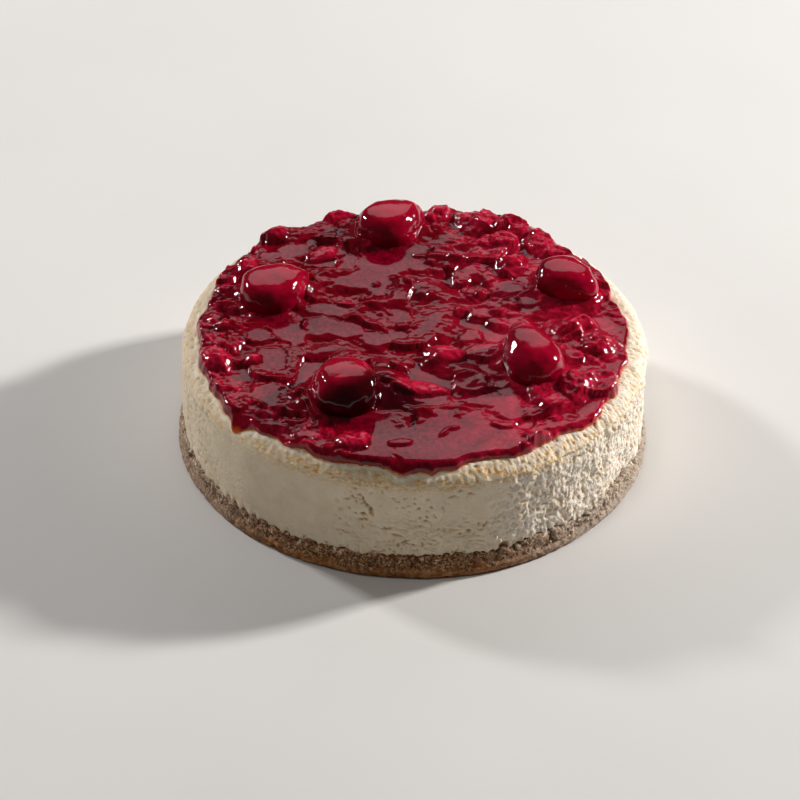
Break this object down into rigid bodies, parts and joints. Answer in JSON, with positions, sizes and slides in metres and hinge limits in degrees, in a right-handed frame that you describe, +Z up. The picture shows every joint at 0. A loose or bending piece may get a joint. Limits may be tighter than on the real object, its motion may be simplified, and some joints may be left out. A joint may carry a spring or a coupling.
{
  "type": "strawberry cheesecake",
  "caption": "Whole round baked cheesecake on a biscuit crust, topped with lumpy strawberry sauce and whole glazed strawberries.",
  "frame": {"origin": "middle of the crust's flat underside", "axes": "+Z up through the cake, -Y towards the front of the cake as pictured, +X to its right"},
  "size_m": [0.1556, 0.1557, 0.0536],
  "materials": {
    "biscuit_crust": "crumbly pressed biscuit",
    "baked_cheese": "porous baked cream cheese, satin",
    "strawberry_gel": "wet glossy fruit gel",
    "strawberry_skin": "glazed fruit"
  },
  "bodies": {
    "root": {"crust": "biscuit_crust", "cheese_layer": "baked_cheese", "strawberry_sauce": "strawberry_gel", "strawberry_1": "strawberry_skin", "strawberry_2": "strawberry_skin", "strawberry_3": "strawberry_skin", "strawberry_4": "strawberry_skin", "strawberry_5": "strawberry_skin"}
  },
  "joints": []
}
